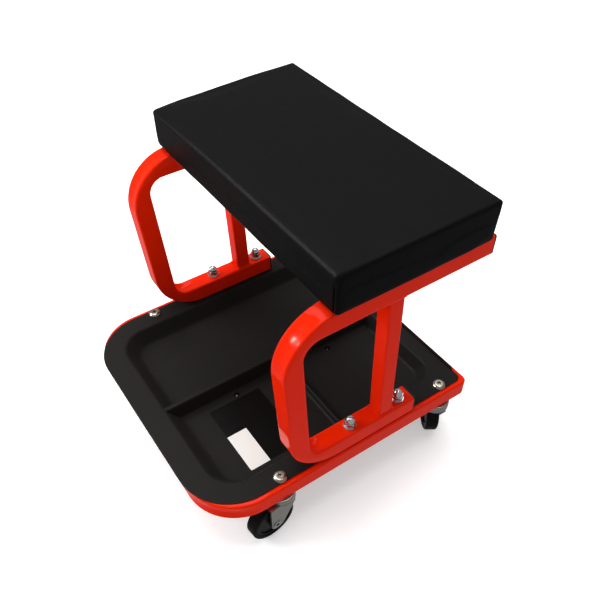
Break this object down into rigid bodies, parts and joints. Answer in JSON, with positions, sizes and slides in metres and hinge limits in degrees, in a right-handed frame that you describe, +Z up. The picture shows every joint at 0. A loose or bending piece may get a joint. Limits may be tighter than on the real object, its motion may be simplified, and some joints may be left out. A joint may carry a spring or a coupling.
{
  "type": "creeper seat",
  "caption": "Rolling workshop seat: padded black cushion on two bent red square-tube side frames over a pressed black tool tray, on a tube base with swivel casters.",
  "frame": {"origin": "on the ground under the middle of the base", "axes": "+Z up, front of the tray towards -Y, the seat's long side along X with the sitter's right at +X"},
  "size_m": [0.37, 0.384, 0.3925],
  "materials": {
    "red_powder_coat": "gloss powder coat",
    "tray_coating": "satin black powder coat",
    "plug_plastic": "matte",
    "plywood": "raw plywood",
    "foam": "open cell foam",
    "seat_vinyl": "satin grained vinyl",
    "wheel_rubber": "satin",
    "wheel_plastic": "moulded",
    "zinc_plate": "bright zinc plate",
    "nickel_screw": "warm nickel plate",
    "bright_fastener": "bright zinc plate",
    "caster_steel": "plain steel"
  },
  "bodies": {
    "base": {"base_frame": "red_powder_coat", "caster_bolts": "nickel_screw", "cover_staples": "bright_fastener", "dome_nuts": "bright_fastener", "end_plugs": "plug_plastic", "frame_bolts": "bright_fastener", "frame_washers": "bright_fastener", "front_left_balls": "caster_steel", "front_left_kingpin": "caster_steel", "front_left_race_cup": "zinc_plate", "front_right_balls": "caster_steel", "front_right_kingpin": "caster_steel", "front_right_race_cup": "zinc_plate", "left_side_frame": "red_powder_coat", "left_strut": "red_powder_coat", "rear_bar": "red_powder_coat", "rear_left_balls": "caster_steel", "rear_left_kingpin": "caster_steel", "rear_left_race_cup": "zinc_plate", "rear_right_balls": "caster_steel", "rear_right_kingpin": "caster_steel", "rear_right_race_cup": "zinc_plate", "right_side_frame": "red_powder_coat", "right_strut": "red_powder_coat", "seat_board": "plywood", "seat_cover": "seat_vinyl", "seat_foam": "foam", "seat_screws": "bright_fastener", "tee_nuts": "bright_fastener", "tool_tray": "tray_coating"},
    "front_right_fork": {"front_right_fork": "zinc_plate", "front_right_axle_sleeve": "caster_steel", "front_right_axle_rivet": "caster_steel"},
    "front_right_wheel": {"front_right_wheel_core": "wheel_plastic", "front_right_tyre": "wheel_rubber"},
    "rear_right_fork": {"rear_right_fork": "zinc_plate", "rear_right_axle_sleeve": "caster_steel", "rear_right_axle_rivet": "caster_steel"},
    "rear_right_wheel": {"rear_right_wheel_core": "wheel_plastic", "rear_right_tyre": "wheel_rubber"},
    "front_left_fork": {"front_left_fork": "zinc_plate", "front_left_axle_sleeve": "caster_steel", "front_left_axle_rivet": "caster_steel"},
    "front_left_wheel": {"front_left_wheel_core": "wheel_plastic", "front_left_tyre": "wheel_rubber"},
    "rear_left_fork": {"rear_left_fork": "zinc_plate", "rear_left_axle_sleeve": "caster_steel", "rear_left_axle_rivet": "caster_steel"},
    "rear_left_wheel": {"rear_left_wheel_core": "wheel_plastic", "rear_left_tyre": "wheel_rubber"}
  },
  "joints": [
    {"name": "front_right_swivel", "type": "hinge", "parent": "base", "child": "front_right_fork", "pos_m": [0.166, -0.093, 0.065], "axis": [0, 0, 1], "continuous": true},
    {"name": "front_right_roll", "type": "hinge", "parent": "front_right_fork", "child": "front_right_wheel", "pos_m": [0.16788, -0.1109, 0.031], "axis": [0.9945, 0.1045, 0], "continuous": true},
    {"name": "rear_right_swivel", "type": "hinge", "parent": "base", "child": "rear_right_fork", "pos_m": [0.166, 0.1534, 0.065], "axis": [0, 0, 1], "continuous": true},
    {"name": "rear_right_roll", "type": "hinge", "parent": "rear_right_fork", "child": "rear_right_wheel", "pos_m": [0.15108, 0.16347, 0.031], "axis": [-0.5592, -0.829, 0], "continuous": true},
    {"name": "front_left_swivel", "type": "hinge", "parent": "base", "child": "front_left_fork", "pos_m": [-0.166, -0.093, 0.065], "axis": [0, 0, 1], "continuous": true},
    {"name": "front_left_roll", "type": "hinge", "parent": "front_left_fork", "child": "front_left_wheel", "pos_m": [-0.16287, -0.11073, 0.031], "axis": [0.9848, 0.1736, 0], "continuous": true},
    {"name": "rear_left_swivel", "type": "hinge", "parent": "base", "child": "rear_left_fork", "pos_m": [-0.166, 0.1534, 0.065], "axis": [0, 0, 1], "continuous": true},
    {"name": "rear_left_roll", "type": "hinge", "parent": "rear_left_fork", "child": "rear_left_wheel", "pos_m": [-0.15041, 0.1624, 0.031], "axis": [-0.5, 0.866, 0], "continuous": true}
  ]
}
